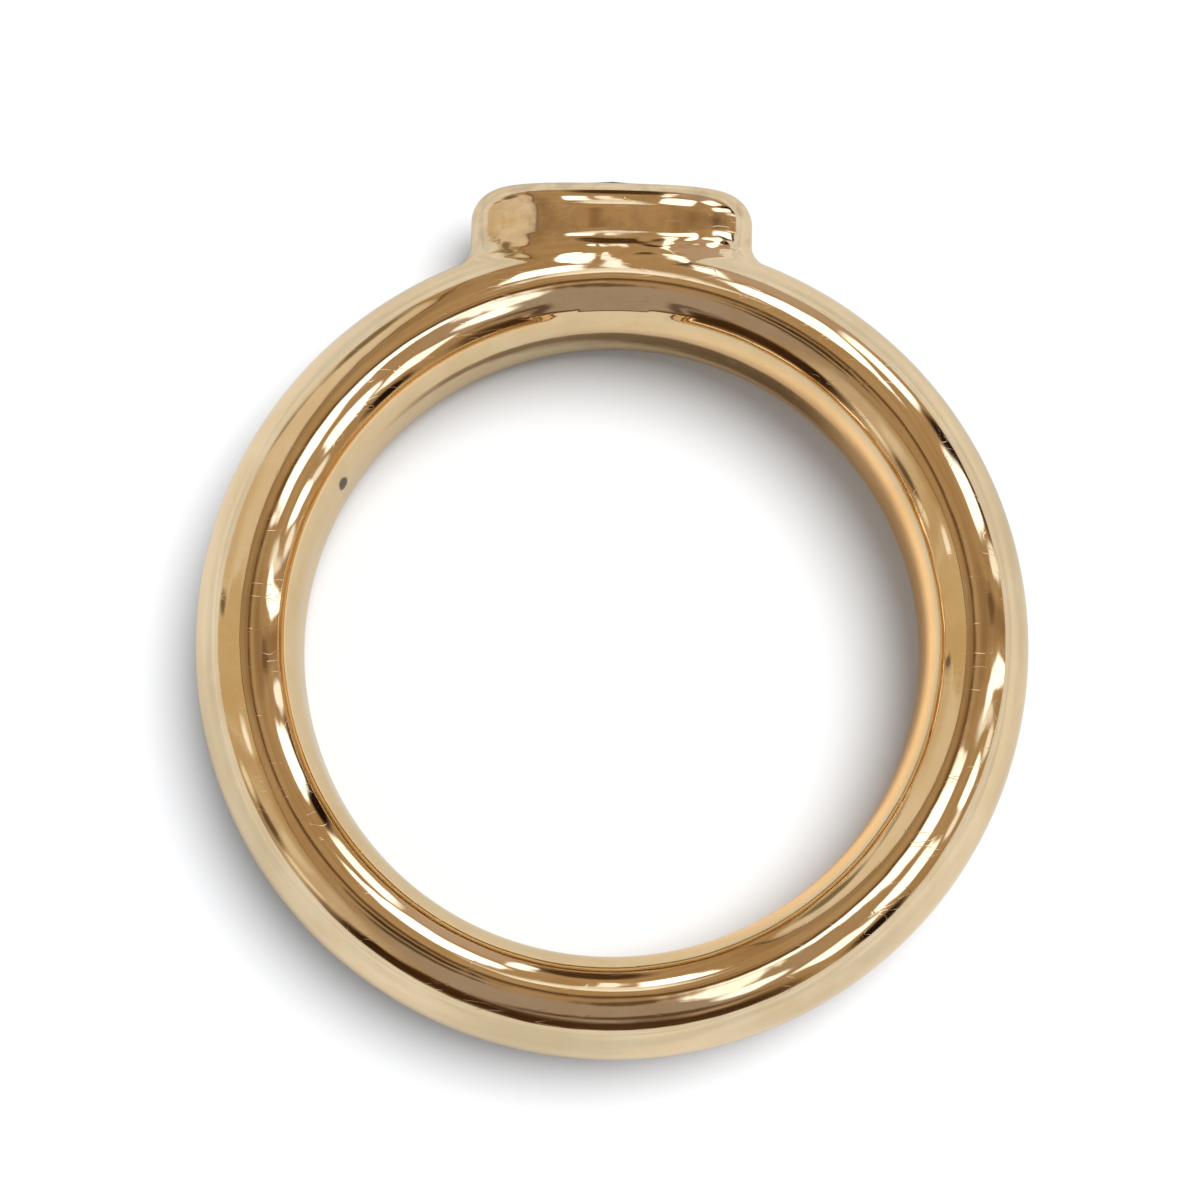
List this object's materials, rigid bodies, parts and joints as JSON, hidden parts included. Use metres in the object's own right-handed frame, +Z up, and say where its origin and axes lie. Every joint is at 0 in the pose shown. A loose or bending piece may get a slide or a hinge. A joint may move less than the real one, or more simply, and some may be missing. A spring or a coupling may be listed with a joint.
{
  "type": "bezel-set gold ring with an oval peridot",
  "caption": "Thick rounded gold band with a low oval bezel cup across its head holding an oval green stone, lying on its side.",
  "frame": {"origin": "on the surface that the ring lies on, under the middle of its bounding box", "axes": "+Z up from the surface and along the finger hole; +Y across the finger hole towards the bezel and stone; +X to the side. The head leans 1.2 degrees from +Y towards +X, as on the real ring."},
  "size_m": [0.0228, 0.024, 0.0055],
  "materials": {
    "gold": "high polish yellow gold with fine wear scratches",
    "peridot": "polished facets, clear olive green"
  },
  "bodies": {
    "root": {"gold_ring": "gold", "peridot": "peridot"}
  },
  "joints": []
}
